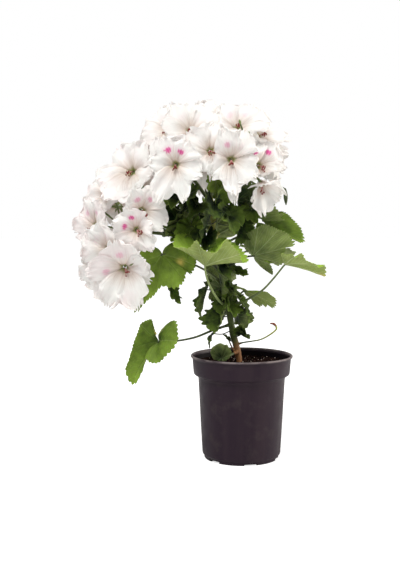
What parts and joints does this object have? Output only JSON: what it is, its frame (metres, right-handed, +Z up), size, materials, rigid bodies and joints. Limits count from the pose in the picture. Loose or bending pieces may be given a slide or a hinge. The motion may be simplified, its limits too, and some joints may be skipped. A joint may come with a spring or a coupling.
{
  "type": "potted plant",
  "caption": "Potted regal pelargonium: a leafy stem in a dark nursery pot, with large toothed leaves and crowded heads of white blooms marked in pink.",
  "frame": {"origin": "the middle of the pot's base, on the surface that the pot stands on", "axes": "+Z up, along the pot's axis; +X to the right of the picture; -Y towards the side that the picture shows"},
  "size_m": [0.2829, 0.18, 0.4128],
  "materials": {
    "pot": "satin, very dark aubergine black",
    "soil": "rough, dark brown, with white grains",
    "stem": "green above, brown and woody at the base",
    "stalk": "green, finely hairy",
    "withered": "yellow green with a dry brown tip",
    "leaf": "matte, green, finely hairy",
    "petal": "soft white with pink marks"
  },
  "bodies": {
    "root": {"pot": "pot", "soil": "soil", "main_stem": "stem", "withered_stalk": "withered", "leaf_low_left": "leaf", "leaf_mid_left": "leaf", "leaf_front": "leaf", "leaf_right": "leaf", "leaf_far_right": "leaf", "leaf_right_behind": "leaf", "leaf_low_right_behind": "leaf", "leaf_in_pot": "leaf", "leaf_back_left": "leaf", "leaf_back": "leaf", "leaf_back_right": "leaf", "crown_left": "leaf", "crown_front": "leaf", "crown_right": "leaf", "crown_back": "leaf", "stalks_upper_left": "stalk", "stalks_upper_right": "stalk", "stalks_upper_back": "stalk", "stalks_lower_left": "stalk", "stalks_middle_left": "stalk", "bloom_01": "petal", "bloom_02": "petal", "bloom_03": "petal", "bloom_04": "petal", "bloom_05": "petal", "bloom_06": "petal", "bloom_07": "petal", "bloom_08": "petal", "bloom_09": "petal", "bloom_10": "petal", "bloom_11": "petal", "bloom_12": "petal", "bloom_13": "petal", "bloom_14": "petal", "bloom_15": "petal", "bloom_16": "petal", "bloom_17": "petal", "bloom_18": "petal", "bloom_19": "petal", "bloom_20": "petal", "bloom_21": "petal", "bloom_22": "petal", "bloom_23": "petal", "bloom_24": "petal", "bloom_25": "petal", "bloom_26": "petal", "bloom_27": "petal", "bloom_28": "petal", "bloom_29": "petal", "bloom_30": "petal", "bloom_31": "petal", "bloom_32": "petal", "bloom_33": "petal", "bloom_34": "petal", "bloom_35": "petal"}
  },
  "joints": []
}
